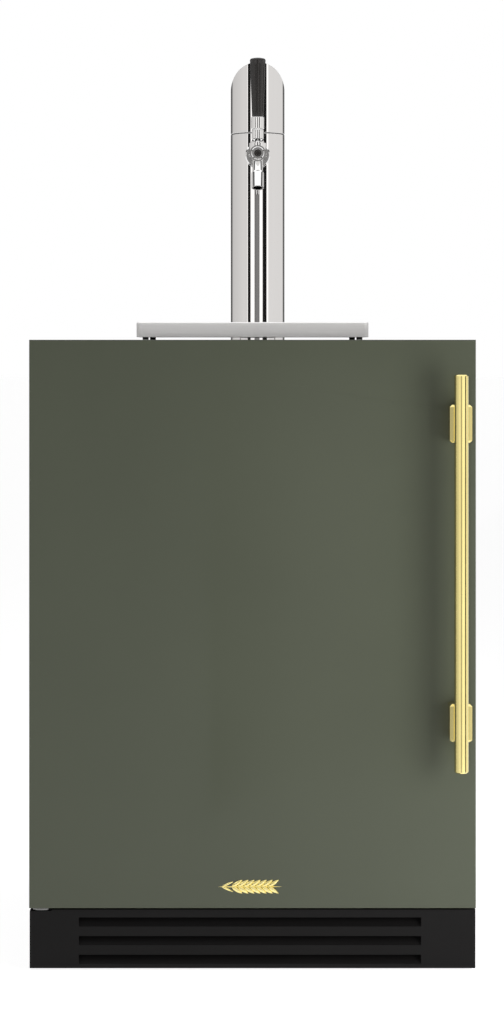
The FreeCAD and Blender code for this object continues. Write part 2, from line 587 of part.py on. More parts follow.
def lines_and_gas():
    coupler_x, coupler_y, coupler_low = 205.0, -170.0, 548.0
    shank_y = tower_front + 27
    parts["beer_line"] = hose([V(tower_x, shank_y, faucet_z - 24), V(tower_x, shank_y, 760),
                               V(coupler_x, coupler_y, 690), V(coupler_x, coupler_y, coupler_low + 74)], 5.0)

    cx, cy, radius, outlet_reach = 185.0, 58.0, 66.5, 44.0
    floor = floor_top + liner_wall
    can = rod(radius, cx, cy, floor, Z_AXIS, 330)
    can = can.makeFillet(12, [e for e in can.Edges if e.CenterOfMass.z < floor + 1 and isinstance(e.Curve, Part.Circle)])
    shoulder_z = floor + 330
    shoulder = Part.makeSphere(radius, V(cx, cy, shoulder_z)).common(rod(radius, cx, cy, shoulder_z, Z_AXIS, 100))
    neck = rod(15, cx, cy, shoulder_z + 55, Z_AXIS, 22)
    valve = rod(11, cx, cy, shoulder_z + 77, Z_AXIS, 46)
    outlet = rod(9, cx, cy, shoulder_z + 98, Y_AXIS * -1, outlet_reach)
    parts["co2_cylinder"] = fuse([can, shoulder, neck, valve, outlet]).cut(
        rod(4.06, cx, cy, shoulder_z + 110, Z_AXIS, 30))
    top = shoulder_z + 123.4
    wheel = fuse([rod(22, cx, cy, top + 6, Z_AXIS, 10), rod(4, cx, cy, top - 10, Z_AXIS, 17)])
    scallops = [rod(5, cx + 25 * math.cos(math.radians(60 * k)), cy + 25 * math.sin(math.radians(60 * k)),
                    top, Z_AXIS, 30) for k in range(6)]
    parts["cylinder_handwheel"] = cut(wheel, scallops)

    rz, ry = shoulder_z + 98, cy - outlet_reach - 0.2
    nut = hexagon(28, cx, ry - 12, rz, Y_AXIS, 12)
    block = rod(20, cx, ry - 46, rz, Y_AXIS, 34)
    gauges = []
    for axis in (X_AXIS * -1, X_AXIS):
        stalk = rod(5, cx, ry - 28, rz, axis, 30)
        side = cx + axis.x * 34
        gauges += [stalk, rod(7, side - axis.x * 6, ry - 28, rz, axis, 8)]
        gauges.append(rod(19, side, ry - 42, rz, Y_AXIS, 20))
    barb = rod(4.5, cx, ry - 29, rz - 40, Z_AXIS, 24)
    parts["regulator"] = fuse([nut, block] + gauges + [barb]).cut(rod(4.06, cx, ry - 50, rz, Y_AXIS, 16))
    knob = fuse([rod(13, cx, ry - 66, rz, Y_AXIS, 18), rod(4, cx, ry - 50, rz, Y_AXIS, 12)])
    parts["regulator_knob"] = knob

    body = rod(15, coupler_x, coupler_y, coupler_low + 6, Z_AXIS, 56)
    foot = rod(26, coupler_x, coupler_y, coupler_low, Z_AXIS, 9)
    foot = foot.makeChamfer(2, [e for e in foot.Edges if isinstance(e.Curve, Part.Circle)])
    spigot = rod(7, coupler_x, coupler_y, coupler_low + 60, Z_AXIS, 14)
    inlet_way = V(0, 1, -1).normalize()
    inlet_start, inlet_length = V(coupler_x, coupler_y, coupler_low + 46), 42.0
    inlet = Part.makeCylinder(5, inlet_length, inlet_start, inlet_way)
    probe = rod(9, coupler_x, coupler_y, coupler_low - 18, Z_AXIS, 20)
    lugs = [box(coupler_x - 30, coupler_x - 12, coupler_y + s - 3, coupler_y + s + 3,
                coupler_low + 34, coupler_low + 50) for s in (-9, 9)]
    pin_hole = rod(2.5, coupler_x - 24, coupler_y - 30, coupler_low + 43, Y_AXIS, 60)
    parts["keg_coupler"] = fuse([body, foot, spigot, inlet, probe] + lugs).cut(pin_hole)
    pin = rod(2.44, coupler_x - 24, coupler_y - 12, coupler_low + 43, Y_AXIS, 24)
    eye = rod(6, coupler_x - 24, coupler_y - 5.6, coupler_low + 43, Y_AXIS, 11.2)
    arm = box(coupler_x - 27, coupler_x - 21, coupler_y - 5.6, coupler_y + 5.6, coupler_low + 43, coupler_low + 100)
    grip = rod(9, coupler_x - 24, coupler_y, coupler_low + 92, Z_AXIS, 40)
    grip = grip.makeFillet(4, [e for e in grip.Edges if isinstance(e.Curve, Part.Circle)])
    parts["coupler_handle"] = fuse([eye, pin, arm, grip])

    start = V(cx, ry - 29, rz - 40)
    finish = inlet_start + inlet_way * inlet_length
    drop = start - Z_AXIS * 57
    approach = finish + inlet_way * 42
    sag = [V(cx + 4, -40, 430), V(cx + 12, -80, 440)]
    parts["gas_line"] = hose([start, drop] + sag + [approach, finish], 4.0)


# ---- drip tray ----

def drip_tray():
    half_x, front, back, low, high = 160.5, -211.0, -56.0, 861.0, 881.5
    shell = box(-half_x, half_x, front, back, low, high)
    shell = shell.makeFillet(7, edges_along(shell, Z_AXIS))
    shell = shell.makeChamfer(1.2, [e for e in shell.Edges if e.CenterOfMass.z > high - 0.1])
    ledge, wall = 876.0, 1.6
    upper = box(-half_x + wall, half_x - wall, front + wall, back - wall, ledge, high + 1)
    upper = upper.makeFillet(5.4, edges_along(upper, Z_AXIS))
    well = box(-half_x + 5, half_x - 5, front + 5, back - 5, low + 1.6, high)
    well = well.makeFillet(3, edges_along(well, Z_AXIS))
    parts["drip_tray"] = cut(shell, [upper, well])

    feet = []
    for x, y in [(-148, -203), (148, -203), (-143, -66), (143, -66)]:
        foot = rod(4.2, x, y, cabinet_top + body_gap, Z_AXIS, low - cabinet_top - body_gap)
        feet.append(foot)
    parts["tray_feet"] = Part.makeCompound(feet)

    edge = wall + body_gap
    grate = box(-half_x + edge, half_x - edge, front + edge, back - edge, ledge + body_gap, ledge + body_gap + 2)
    grate = grate.makeFillet(5.0, edges_along(grate, Z_AXIS))
    columns, slot_length, slot_width = 24, 58.0, 5.5
    step = (2 * half_x - 26) / columns
    slots = []
    for row in range(2):
        y = front + 16 + row * (slot_length + 7)
        for k in range(columns):
            x = -half_x + 13 + step * (k + 0.5)
            slots.append(box(x - slot_width / 2, x + slot_width / 2, y, y + slot_length, ledge - 1, high))
    parts["drip_grate"] = cut(grate, slots)


def build():
    cabinet_shell()
    insulation()
    inner_liner()
    rear_panel()
    base()
    legs()
    kick_grille()
    hinges()
    cabinet_screws()
    cooling()
    evaporator()
    controls()
    door()
    handle()
    badge()
    tower()
    shank_and_nuts()
    faucet()
    lines_and_gas()
    drip_tray()


build()
os.makedirs("parts", exist_ok=True)
for name, shape in parts.items():
    valid = shape.isValid() and len(shape.Solids) > 0
    print(name, "solids", len(shape.Solids), "valid" if valid else "BAD")
    shape.exportStep(os.path.join("parts", name + ".step"))
print(len(parts), "nodes")
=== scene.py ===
import bpy, bmesh, math
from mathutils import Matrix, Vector


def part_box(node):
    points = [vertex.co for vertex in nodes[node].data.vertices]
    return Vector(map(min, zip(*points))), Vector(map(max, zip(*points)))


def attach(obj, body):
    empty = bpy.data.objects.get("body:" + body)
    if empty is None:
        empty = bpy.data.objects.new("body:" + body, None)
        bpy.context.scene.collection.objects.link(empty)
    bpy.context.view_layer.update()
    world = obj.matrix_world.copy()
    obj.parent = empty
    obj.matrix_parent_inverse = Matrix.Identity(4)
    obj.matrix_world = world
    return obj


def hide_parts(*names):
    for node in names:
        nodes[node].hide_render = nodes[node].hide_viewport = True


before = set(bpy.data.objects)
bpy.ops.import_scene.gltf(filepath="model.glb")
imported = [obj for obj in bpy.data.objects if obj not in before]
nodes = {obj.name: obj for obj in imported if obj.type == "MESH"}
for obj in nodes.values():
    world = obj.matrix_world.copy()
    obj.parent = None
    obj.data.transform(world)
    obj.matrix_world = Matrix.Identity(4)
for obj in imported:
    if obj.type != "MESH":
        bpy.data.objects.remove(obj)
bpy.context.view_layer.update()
scene = bpy.context.scene
print("frame loaded:", len(nodes), "nodes")


class Wire:  # a socket of a node tree; sums and products on it add Math nodes
    def __init__(self, paint, socket):
        self.paint, self.socket = paint, socket

    def math(self, operation, first, second):
        return self.paint.node("Math", {"operation": operation}, {0: first, 1: second})["Value"]

    def __add__(self, other):
        return self.math("ADD", self, other)

    def __sub__(self, other):
        return self.math("SUBTRACT", self, other)

    def __rsub__(self, other):
        return self.math("SUBTRACT", other, self)

    def __mul__(self, other):
        return self.math("MULTIPLY", self, other)

    __radd__, __rmul__ = __add__, __mul__


class Paint:  # a node tree that is being built
    def __init__(self, tree):
        self.tree = tree
        tree.nodes.clear()

    def node(self, kind, settings={}, sockets={}):
        made = self.tree.nodes.new("ShaderNode" + kind)
        for name, value in settings.items():
            if name == "stops":
                self.ramp(made.color_ramp, value)
            else:
                setattr(made, name, value)
        for name, value in sockets.items():
            found = made.inputs[name] if isinstance(name, int) else self.find(made.inputs, name)
            if isinstance(value, Wire):
                self.tree.links.new(value.socket, found)
            else:
                found.default_value = value
        return {s.name: Wire(self, s) for s in made.outputs if s.enabled}

    def find(self, sockets, name):
        return next(s for s in sockets if s.name == name and s.enabled)

    def ramp(self, ramp, stops):
        while len(ramp.elements) < len(stops):
            ramp.elements.new(1)
        for element, (position, shade) in zip(ramp.elements, stops):
            element.position = position
            element.color = (*shade, 1)

    def where(self, stretch=(1, 1, 1)):  # metres in the object's own frame, stretched
        spot = self.node("TexCoord")["Object"]
        return self.node("Mapping", {}, {"Vector": spot, "Scale": stretch})["Vector"]

    def noise(self, scale, detail=2, stretch=(1, 1, 1), rough=0.5):
        sockets = {"Vector": self.where(stretch), "Scale": scale, "Detail": detail, "Roughness": rough}
        return self.node("TexNoise", {}, sockets)["Fac"]

    def blend(self, factor, first, second):
        sockets = {"Factor": factor, "A": (*first, 1) if isinstance(first, tuple) else first,
                   "B": (*second, 1) if isinstance(second, tuple) else second}
        return self.node("Mix", {"data_type": "RGBA"}, sockets)["Result"]

    def spread(self, value, low, high):  # a 0 to 1 wire onto low to high
        return value * (high - low) + low

    def bump(self, height, strength, depth):
        return self.node("Bump", {}, {"Height": height, "Strength": strength, "Distance": depth})["Normal"]


def material(name, look):
    made = bpy.data.materials.new(name)
    made.use_nodes = True
    paint = Paint(made.node_tree)
    sockets = look(paint)
    if isinstance(sockets.get("Base Color"), tuple):
        sockets["Base Color"] = (*sockets["Base Color"], 1)
    shader = paint.node("BsdfPrincipled", {}, sockets)["BSDF"]
    paint.node("OutputMaterial", {}, {"Surface": shader})
    return made


# finishes: every look takes a Paint and gives the sockets of its shader
enamelLook = {
    "deep": (0.045, 0.0505, 0.0335), "light": (0.053, 0.0595, 0.0395), "speck": (0.10, 0.11, 0.085),
    "roughness": 0.3, "peel": 650,
}
brassLook = {"deep": (0.84, 0.71, 0.28), "light": (0.96, 0.87, 0.41), "tarnish": (0.68, 0.53, 0.21)}
steelLook = {"deep": (0.84, 0.83, 0.825), "light": (0.95, 0.94, 0.935), "roughness": 0.48}


def enamel(paint):  # sprayed satin enamel: faint cloudiness and orange peel
    cloud = paint.noise(5, 3)
    speck = paint.noise(900, 2)
    peel = paint.noise(enamelLook["peel"], 2)
    shade = paint.blend(cloud, enamelLook["deep"], enamelLook["light"])
    shade = paint.blend(speck * 0.08, shade, enamelLook["speck"])
    rough = paint.spread(paint.noise(40, 3), enamelLook["roughness"] - 0.03, enamelLook["roughness"] + 0.04)
    return {"Base Color": shade, "Roughness": rough, "Specular IOR Level": 0.32,
            "Normal": paint.bump(peel, 0.05, 0.0004)}


def brass(grain, roughness=0.13, tarnish=0.4):  # grain stretches the draw lines along the piece
    def look(paint):
        line = paint.noise(300, 3, grain, 0.6)
        patch = paint.noise(14, 3)
        shade = paint.blend(line, brassLook["deep"], brassLook["light"])
        shade = paint.blend(patch * tarnish, shade, brassLook["tarnish"])
        rough = paint.spread(patch, roughness - 0.03, roughness + 0.05) + line * 0.03
        return {"Base Color": shade, "Metallic": 1.0, "Roughness": rough,
                "Normal": paint.bump(line, 0.05, 0.0001)}
    return look


def brushed(grain, deep=steelLook["deep"], light=steelLook["light"], roughness=steelLook["roughness"],
            metal=1.0):
    def look(paint):
        line = paint.noise(520, 5, grain, 0.7)
        patch = paint.noise(9, 2)
        rough = paint.spread(line, roughness - 0.07, roughness + 0.1) + patch * 0.04
        return {"Base Color": paint.blend(line, deep, light), "Metallic": metal, "Roughness": rough,
                "Normal": paint.bump(line, 0.14, 0.0002)}
    return look


def polished(colour, roughness, grain=(1, 1, 0.02)):  # mirror finish with faint draw lines
    def look(paint):
        line = paint.noise(260, 3, grain)
        smear = paint.noise(22, 4)
        rough = paint.spread(smear, roughness * 0.7, roughness * 1.6)
        shade = paint.blend(line, tuple(c * 0.96 for c in colour), colour)
        return {"Base Color": shade, "Metallic": 1.0, "Roughness": rough,
                "Normal": paint.bump(line, 0.02, 0.0001)}
    return look


def powder(colour, roughness, grit=1400, strength=0.25, gloss=0.3):  # textured powder coat
    def look(paint):
        grain = paint.noise(grit, 3)
        dust = paint.noise(18, 4)
        shade = paint.blend(dust * 0.3, colour, tuple(c * 1.5 + 0.003 for c in colour))
        rough = paint.spread(grain, roughness - 0.08, roughness + 0.08)
        return {"Base Color": shade, "Roughness": rough, "Specular IOR Level": gloss,
                "Normal": paint.bump(grain, strength, 0.0003)}
    return look


def plastic(colour, roughness, peel=300, strength=0.06):
    def look(paint):
        cloud = paint.noise(12, 3)
        peelNoise = paint.noise(peel, 2)
        shade = paint.blend(cloud * 0.5, colour, tuple(c * 0.9 for c in colour))
        rough = paint.spread(paint.noise(60, 3), roughness - 0.04, roughness + 0.05)
        return {"Base Color": shade, "Roughness": rough, "Normal": paint.bump(peelNoise, strength, 0.0004)}
    return look


def rubber(colour, roughness=0.75):
    def look(paint):
        grain = paint.noise(1100, 3)
        bloom = paint.noise(30, 4)
        shade = paint.blend(bloom * 0.5, colour, tuple(c * 1.5 + 0.01 for c in colour))
        return {"Base Color": shade, "Roughness": paint.spread(grain, roughness - 0.08, roughness + 0.1),
                "Normal": paint.bump(grain, 0.3, 0.0003)}
    return look


def foam(paint):  # cut face of rigid foam: fine open cells
    cell = paint.node("TexVoronoi", {}, {"Vector": paint.where(), "Scale": 420})["Distance"]
    cloud = paint.noise(16, 3)
    shade = paint.blend(cloud, (0.70, 0.58, 0.34), (0.82, 0.72, 0.50))
    return {"Base Color": shade, "Roughness": 0.9, "Normal": paint.bump(cell, 0.6, 0.0008)}


def galvanised(paint):  # zinc spangle
    flake = paint.node("TexVoronoi", {}, {"Vector": paint.where(), "Scale": 90})["Color"]
    shade = paint.node("HueSaturation", {}, {"Saturation": 0.0, "Color": flake})["Color"]
    shade = paint.blend(0.85, shade, (0.52, 0.53, 0.54))
    smear = paint.noise(24, 4)
    return {"Base Color": shade, "Metallic": 1.0, "Roughness": paint.spread(smear, 0.34, 0.52),
            "Normal": paint.bump(smear, 0.08, 0.0004)}


def hose(core, skin):  # reinforced vinyl with its braid under the surface
    def look(paint):
        thread = paint.node("TexWave", {"wave_type": "BANDS", "bands_direction": "DIAGONAL"},
                            {"Vector": paint.where(), "Scale": 160})["Fac"]
        haze = paint.noise(60, 3)
        shade = paint.blend(haze, core, skin)
        return {"Base Color": shade, "Roughness": paint.spread(haze, 0.16, 0.28), "Coat Weight": 0.6,
                "Coat Roughness": 0.1, "Normal": paint.bump(thread, 0.08, 0.0003)}
    return look


def glowLens(paint):
    prism = paint.node("TexWave", {"wave_type": "BANDS", "bands_direction": "X"},
                       {"Vector": paint.where(), "Scale": 60})["Fac"]
    return {"Base Color": (0.92, 0.93, 0.92), "Roughness": 0.35, "Emission Color": (1.0, 0.97, 0.9, 1),
            "Emission Strength": 0.35, "Normal": paint.bump(prism, 0.3, 0.0006)}


alongZ, alongX = (1, 1, 0.012), (0.012, 1, 1)  # grain drawn out along an axis
looks = {
    "greenEnamel": enamel,
    "barBrass": brass(alongZ),
    "badgeBrass": brass(alongX, 0.16, 0.2),
    "blackPowder": powder((0.0045, 0.0042, 0.0042), 0.5, gloss=0.12),
    "cabinetBlack": powder((0.014, 0.014, 0.015), 0.42, 900, 0.18),
    "zincSheet": galvanised,
    # hinge-bracket steel, kept far darker than bare steel: painted shade, the dark seen under the door's
    # foot
    "shadedBracketSteel": brushed((1, 1, 1), (0.15, 0.15, 0.148), (0.22, 0.22, 0.217), 0.4),
    "rigidFoam": foam,
    "linerWhite": plastic((0.60, 0.61, 0.605), 0.3, 220, 0.05),
    "gasketGrey": rubber((0.06, 0.06, 0.062), 0.6),
    "footRubber": rubber((0.015, 0.015, 0.015)),
    "bushNylon": plastic((0.06, 0.06, 0.06), 0.5),
    "potBlack": powder((0.012, 0.012, 0.012), 0.3, 500, 0.12),
    "finAluminium": brushed(alongZ, (0.62, 0.63, 0.64), (0.78, 0.79, 0.80), 0.32),
    "fanBlack": plastic((0.02, 0.02, 0.021), 0.42),
    "controlGrey": plastic((0.045, 0.046, 0.05), 0.45, 700, 0.12),
    "buttonPale": plastic((0.60, 0.61, 0.62), 0.3),
    "lampLens": glowLens,
    "towerMirror": polished((0.82, 0.81, 0.805), 0.035),
    "faucetChrome": polished((0.84, 0.835, 0.83), 0.06, (1, 1, 1)),
    "fittingBrass": brass((1, 1, 1), 0.24, 0.9),
    "gripBlack": plastic((0.014, 0.012, 0.011), 0.14, 400, 0.03),
    "traySteel": brushed(alongX, metal=0.8),
    "bottleSkin": brushed((1, 1, 0.03), (0.50, 0.51, 0.52), (0.64, 0.65, 0.66), 0.34),
    "beerVinyl": hose((0.62, 0.60, 0.52), (0.80, 0.80, 0.76)),
    "gasVinyl": hose((0.42, 0.02, 0.015), (0.60, 0.05, 0.035)),
    "steelScrew": brushed((1, 1, 1), (0.55, 0.56, 0.57), (0.70, 0.71, 0.72), 0.28),
}
paints = {name: material(name, look) for name, look in looks.items()}
print("materials:", len(paints))


# finish and edge rounding, in millimetres, of every frame node
nodeFinish = {
    "cabinet_wrapper": ("cabinetBlack", 0.6), "insulation": ("rigidFoam", 0),
    "inner_liner": ("linerWhite", 0), "rear_panel": ("zincSheet", 0.25),
    "base_pan": ("cabinetBlack", 0.5), "kick_grille": ("blackPowder", 0.9),
    # both hinge brackets take the darkened steel, which carries painted shade
    "upper_hinge_bracket": ("shadedBracketSteel", 0.5), "lower_hinge_bracket": ("shadedBracketSteel", 0.5),
    "hinge_pins": ("steelScrew", 0.4), "hinge_bushes": ("bushNylon", 0.4),
    "cabinet_screws": ("steelScrew", 0.35),
    "compressor": ("potBlack", 1.2), "condenser_coil": ("blackPowder", 0), "fan_shroud": ("zincSheet", 0.8),
    "condenser_fan": ("fanBlack", 0.4), "evaporator_cover": ("linerWhite", 0.5),
    "evaporator_fan": ("fanBlack", 0.4), "evaporator_coil": ("finAluminium", 0),
    "control_panel": ("controlGrey", 0.6), "warmer_button": ("buttonPale", 0.5),
    "colder_button": ("buttonPale", 0.5), "door_switch_plunger": ("buttonPale", 0.6),
    "interior_lamp": ("lampLens", 0.6), "power_inlet": ("controlGrey", 0.5),
    "door_skin": ("greenEnamel", 0.3), "door_liner": ("linerWhite", 0.5), "door_foam": ("rigidFoam", 0),
    "door_gasket": ("gasketGrey", 0.8), "handle_bar": ("barBrass", 0.4), "handle_posts": ("barBrass", 0.5),
    "handle_screws": ("steelScrew", 0.3), "badge": ("badgeBrass", 0.4),
    "tower_base_ring": ("steelScrew", 0.4), "tower_column": ("towerMirror", 0.7),
    "tower_cap": ("towerMirror", 0.7), "shank": ("faucetChrome", 0.3), "shank_nut": ("fittingBrass", 0.5),
    "coupling_nut": ("faucetChrome", 0.4), "faucet_body": ("faucetChrome", 0.7),
    "front_plug": ("faucetChrome", 0.4),
    "faucet_bonnet": ("faucetChrome", 0.3), "faucet_lever": ("faucetChrome", 0.3),
    "lever_ferrule": ("faucetChrome", 0.3), "tap_handle": ("gripBlack", 0.4),
    "valve_shaft": ("faucetChrome", 0.2),
    "beer_line": ("beerVinyl", 0), "gas_line": ("gasVinyl", 0), "co2_cylinder": ("bottleSkin", 0.6),
    "cylinder_handwheel": ("gripBlack", 1.0), "regulator": ("fittingBrass", 0.6),
    "regulator_knob": ("gripBlack", 0.8), "keg_coupler": ("faucetChrome", 0.6),
    "coupler_handle": ("gripBlack", 0.8), "drip_tray": ("traySteel", 0.4), "tray_feet": ("footRubber", 0.5),
    "drip_grate": ("traySteel", 0.35),
}
legNodes = ("front_left_leg", "front_right_leg", "rear_left_leg", "rear_right_leg")
nodeFinish.update({legNode: ("steelScrew", 0.4) for legNode in legNodes})


edges = {"weld": 0.002, "segments": 2, "angle": 34, "evenness": 80}  # millimetres and degrees


def softenEdges(made, width):  # joins the split corners and rounds the true edges
    weld = made.modifiers.new("weld", "WELD")
    weld.merge_threshold = edges["weld"] / 1000
    bevel = made.modifiers.new("bevel", "BEVEL")
    bevel.width, bevel.segments, bevel.limit_method = width / 1000, edges["segments"], "ANGLE"
    bevel.angle_limit = math.radians(edges["angle"])
    bevel.miter_outer = "MITER_ARC"
    even = made.modifiers.new("even", "WEIGHTED_NORMAL")
    even.weight, even.keep_sharp = edges["evenness"], False


for nodeName, made in nodes.items():
    paintName, rounding = nodeFinish[nodeName]
    made.data.materials.clear()
    made.data.materials.append(paints[paintName])
    if rounding:
        if "custom_normal" in made.data.attributes:
            made.data.attributes.remove(made.data.attributes["custom_normal"])
        made.data.polygons.foreach_set("use_smooth", [True] * len(made.data.polygons))
        softenEdges(made, rounding)
print("frame nodes finished:", len(nodeFinish))


# the rebuilt pieces are worked out in millimetres
def place(name, verts, faces, paintName, body, slotName, crease=35, even=False):
    mesh = bpy.data.meshes.new(name)
    mesh.from_pydata([Vector(v) / 1000 for v in verts], [], faces)
    shape = bmesh.new()
    shape.from_mesh(mesh)
    bmesh.ops.recalc_face_normals(shape, faces=shape.faces)
    shape.to_mesh(mesh)
    shape.free()
    mesh.polygons.foreach_set("use_smooth", [True] * len(mesh.polygons))
    mesh.set_sharp_from_angle(angle=math.radians(crease))
    mesh.materials.append(paints[paintName])
    made = bpy.data.objects.new(name, mesh)
    scene.collection.objects.link(made)
    if even:  # keeps long walls straight up to their rounded rims
        made.modifiers.new("even", "WEIGHTED_NORMAL").keep_sharp = True
    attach(made, body)
    return made


def rounded(points, steps=5):  # (across, along, radius) corners into a smooth outline
    outline = []
    for k, (x, y, radius) in enumerate(points):
        here = Vector((x, y))
        if radius == 0 or k in (0, len(points) - 1):
            outline.append(here)
            continue
        before = (Vector(points[k - 1][:2]) - here).normalized()
        after = (Vector(points[k + 1][:2]) - here).normalized()
        half = before.angle(after) / 2
        reach = radius / math.tan(half)
        centre = here + (before + after).normalized() * radius / math.sin(half)
        first, last = here + before * reach - centre, here + after * reach - centre
        turn = first.angle_signed(last)
        for s in range(steps + 1):
            a = -turn * s / steps
            outline.append(centre + Vector((first.x * math.cos(a) - first.y * math.sin(a),
                                            first.x * math.sin(a) + first.y * math.cos(a))))
    return outline


def turned(outline, steps, centre, axis=(0, 0, 1), wave=None, closed=False):  # spins (radius, along)
    turn = Vector((0, 0, 1)).rotation_difference(Vector(axis))
    verts, rings, faces = [], [], []
    for radius, along in outline:
        ring = []
        for s in range(1 if radius < 1e-6 else steps):
            a = 2 * math.pi * s / steps
            r = radius * (wave(a, along) if wave else 1)
            ring.append(len(verts))
            verts.append(Vector(centre) + turn @ Vector((r * math.cos(a), r * math.sin(a), along)))
        rings.append(ring)
    pairs = list(zip(rings, rings[1:])) + ([(rings[-1], rings[0])] if closed else [])
    for low, high in pairs:
        for s in range(steps):
            t = (s + 1) % steps
            corners = [low[s % len(low)], low[t % len(low)], high[t % len(high)], high[s % len(high)]]
            face = list(dict.fromkeys(corners))
            if len(face) > 2:
                faces.append(face)
    return verts, faces


def joined(*parts):  # several (verts, faces) as one
    verts, faces = [], []
    for partVerts, partFaces in parts:
        faces += [[i + len(verts) for i in face] for face in partFaces]
        verts += list(partVerts)
    return verts, faces


def boxOf(node):  # a frame node's box in millimetres
    low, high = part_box(node)
    return low * 1000, high * 1000


# tap handle: a fluted, flared black grip
grip = {
    "foot": 8.3, "shoulder": 1.4, "crown": 3.2, "dome": 1.2, "domeRound": 4, "steps": 200, "ringGap": 2.5,
    "flutes": 10, "fluteDepth": 0.12,
    "fluteStart": 0.02, "fluteIn": 0.06, "fluteEnd": 0.955, "fluteOut": 0.05,  # shares of its height
}


def limited(value):  # between 0 and 1
    return min(1, max(0, value))


def tapHandle():
    low, high = boxOf("tap_handle")
    cx, cy = (low.x + high.x) / 2, (low.y + high.y) / 2
    bottom, top = low.z, high.z
    topRadius = (high.x - low.x) / 2

    def flute(a, along):
        rise = (along - bottom) / (top - bottom)
        begin = limited((rise - grip["fluteStart"]) / grip["fluteIn"])
        depth = grip["fluteDepth"] * begin * limited((grip["fluteEnd"] - rise) / grip["fluteOut"])
        return 1 - depth * max(0, math.cos(a * grip["flutes"])) ** 1.6

    outline = rounded([(0, bottom, 0), (grip["foot"], bottom, grip["shoulder"]),
                       (topRadius, top - grip["dome"], grip["crown"]),
                       (topRadius * 0.45, top, grip["domeRound"]), (0, top, 0)], 8)
    fine = []
    for a, b in zip(outline, outline[1:]):
        count = max(1, int((b - a).length / grip["ringGap"]))
        fine += [a.lerp(b, k / count) for k in range(count)]
    fine.append(outline[-1])
    verts, faces = turned(fine, grip["steps"], (cx, cy, 0), wave=flute)
    made = place("tapGrip", verts, faces, "gripBlack", "tap_lever", "handle_black", 50)
    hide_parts("tap_handle")


tapHandle()


# badge: a barley ear in relief, lying with its leaves at the left
ear = {
    "pairs": 7, "pitch": 8.2, "first": -18, "apart": 4.6, "tilt": 32,
    "length": 8.5, "width": 2.9, "proud": 2.9, "ridge": 0.14, "stemWidth": 1.25, "stemProud": 1.7,
    "leafAt": -31, "leafApart": 3.4, "leafTilt": 0.42, "leafLength": 8.5, "leafWidth": 1.5, "leafProud": 1.2,
}


def grainMesh(centre, tilt, length, width, proud):  # half of a pointed seed, ridged down its back
    verts, faces, around, along = [], [], 12, 14
    axis, side = (math.cos(tilt), math.sin(tilt)), (-math.sin(tilt), math.cos(tilt))
    for i in range(along + 1):
        t = -1 + 2 * i / along
        girth = max(0.02, (1 - abs(t) ** 2.2)) ** 0.7 * (1 - 0.18 * t)
        for j in range(around + 1):
            a = math.pi * j / around
            ridge = 1 + ear["ridge"] * math.exp(-((a - math.pi / 2) / 0.25) ** 2)
            u, v = t * length, math.cos(a) * width * girth
            lift = math.sin(a) * proud * girth * ridge / (1 + ear["ridge"])
            verts.append((centre[0] + u * axis[0] + v * side[0], centre[1] - lift,
                          centre[2] + u * axis[1] + v * side[1]))
    for i in range(along):
        for j in range(around):
            a = i * (around + 1) + j
            faces.append([a, a + 1, a + around + 2, a + around + 1])
    faces.append([j for j in range(around + 1)])
    faces.append([along * (around + 1) + j for j in range(around, -1, -1)])
    for i in range(along):
        a = i * (around + 1)
        faces.append([a, a + around + 1, a + 2 * around + 1, a + around])
    return verts, faces


def badgeEar():
    low, high = boxOf("badge")
    cx, cz, back = (low.x + high.x) / 2, (low.z + high.z) / 2, high.y
    parts = [grainMesh((cx, back, cz), 0, (high.x - low.x) / 2, ear["stemWidth"], ear["stemProud"])]
    for k in range(ear["pairs"]):
        for side in (-1, 1):
            tilt = math.radians(side * ear["tilt"])
            gx, gz = cx + ear["first"] + ear["pitch"] * k, cz + side * ear["apart"]
            parts.append(grainMesh((gx, back, gz), tilt, ear["length"], ear["width"], ear["proud"]))
    for side in (-1, 1):  # two leaves on the straw
        leafFoot = (cx + ear["leafAt"], back, cz + side * ear["leafApart"])
        parts.append(grainMesh(leafFoot, side * ear["leafTilt"], ear["leafLength"], ear["leafWidth"],
                               ear["leafProud"]))
    made = place("badgeEar", *joined(*parts), "badgeBrass", "door", "brass_trim", 50)
    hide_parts("badge")


badgeEar()


# handle bar: turned, with a fine chamfer and end dimple
bar = {"chamfer": 1.8, "edge": 0.5, "dimple": 2.2, "dimpleDepth": 0.8, "dimpleEdge": 0.4, "steps": 128}


def handleBar():
    low, high = boxOf("handle_bar")
    radius, cx, cy = (high.x - low.x) / 2, (low.x + high.x) / 2, (low.y + high.y) / 2
    c, e, d = bar["chamfer"], bar["edge"], bar["dimple"]
    deep, rim = bar["dimpleDepth"], bar["dimpleEdge"]
    outline = rounded([(0, low.z + deep, 0), (d, low.z, rim), (radius - c, low.z, e), (radius, low.z + c, e),
                       (radius, high.z - c, e), (radius - c, high.z, e), (d, high.z, rim),
                       (0, high.z - deep, 0)])
    verts, faces = turned(outline, bar["steps"], (cx, cy, 0))
    made = place("handleBar", verts, faces, "barBrass", "door", "brass_trim", 40, even=True)
    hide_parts("handle_bar")


handleBar()


gasket = {  # half of its section, as (out from the middle, back from the door): foot, bellows, soft bulb
    "half": [(8, 0), (8, 1.4), (5.2, 1.8), (3.6, 2.8), (5.8, 4.0), (7.4, 5.2), (7.9, 6.8), (7.3, 8.4),
             (5.6, 9.4), (3.0, 9.68)],
    "crown": 9.7,
}


